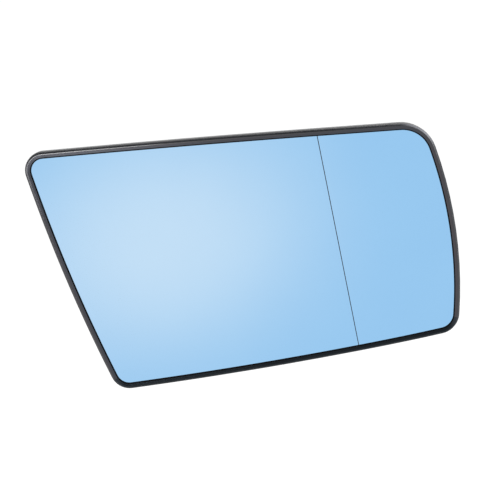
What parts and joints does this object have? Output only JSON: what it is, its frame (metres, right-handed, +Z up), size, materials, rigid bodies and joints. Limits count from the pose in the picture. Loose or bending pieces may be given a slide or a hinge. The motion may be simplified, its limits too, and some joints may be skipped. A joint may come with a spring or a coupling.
{
  "type": "car door mirror glass",
  "caption": "Right-hand convex door mirror glass with an aspheric outer zone, blue coated, in a plastic carrier with a clip ring behind it and heater terminals.",
  "frame": {"origin": "centre of the ring of hooks behind the glass, half way along the hooks' lands", "axes": "+X to the outer end of the glass, away from the car; +Y back into the mirror housing, along the clip ring's axis; +Z up as on the car, with the zone line upright"},
  "size_m": [0.1766, 0.0124, 0.1137],
  "materials": {
    "dark_plastic": "fine satin",
    "blue_mirror": "polished, blue coated",
    "foil": "satin",
    "terminal_brass": "tinned edges, satin",
    "rivet_steel": "satin"
  },
  "bodies": {
    "root": {"carrier": "dark_plastic", "mirror_glass": "blue_mirror", "heater_foil": "foil", "heater_terminal_left": "terminal_brass", "heater_terminal_right": "terminal_brass", "terminal_rivets": "rivet_steel"}
  },
  "joints": []
}
